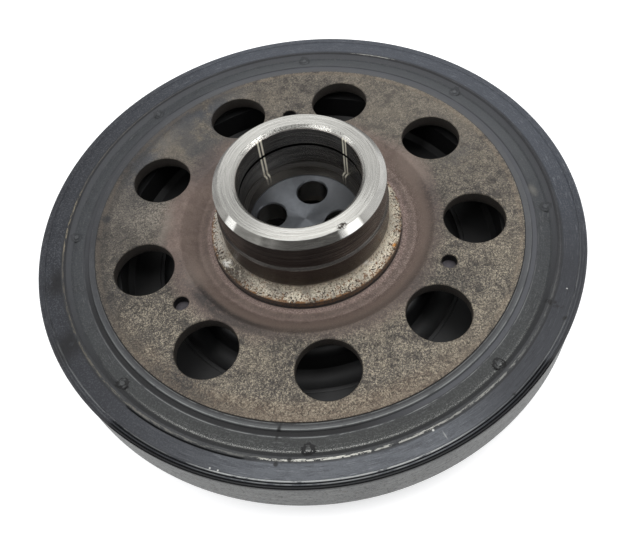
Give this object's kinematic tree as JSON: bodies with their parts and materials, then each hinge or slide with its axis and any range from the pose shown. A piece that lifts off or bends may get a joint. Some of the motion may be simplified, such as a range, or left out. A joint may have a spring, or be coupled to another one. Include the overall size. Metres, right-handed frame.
{
  "type": "crankshaft harmonic balancer",
  "caption": "Used crankshaft harmonic balancer with a seal sleeve hub, a drilled carrier plate, a rubber-bonded damper ring and a decoupled ribbed belt pulley.",
  "frame": {"origin": "on the crankshaft axis, in the plane of the belt pulley's front rim, which the part lies on", "axes": "+Z along the crankshaft axis towards the engine, with the seal sleeve up; one vent hole of the carrier plate lies on -Y"},
  "size_m": [0.1992, 0.1992, 0.071],
  "materials": {
    "machined_steel": "turned, polished on the seal sleeve, with light rust on the foot",
    "blasted_steel": "blasted and oxidised, grey-brown",
    "ring_iron": "turned, dull",
    "bonded_rubber": "moulded, aged and scuffed",
    "coated_steel": "black electrocoat, satin",
    "bush_polymer": "filled bearing polymer"
  },
  "bodies": {
    "root": {"hub": "machined_steel", "carrier_plate": "blasted_steel", "damper_ring": "ring_iron", "damper_rubber": "bonded_rubber", "belt_pulley": "coated_steel", "pulley_bush": "bush_polymer", "decoupler_sleeve": "coated_steel", "decoupler_rubber": "bonded_rubber", "decoupler_cup": "coated_steel"}
  },
  "joints": []
}
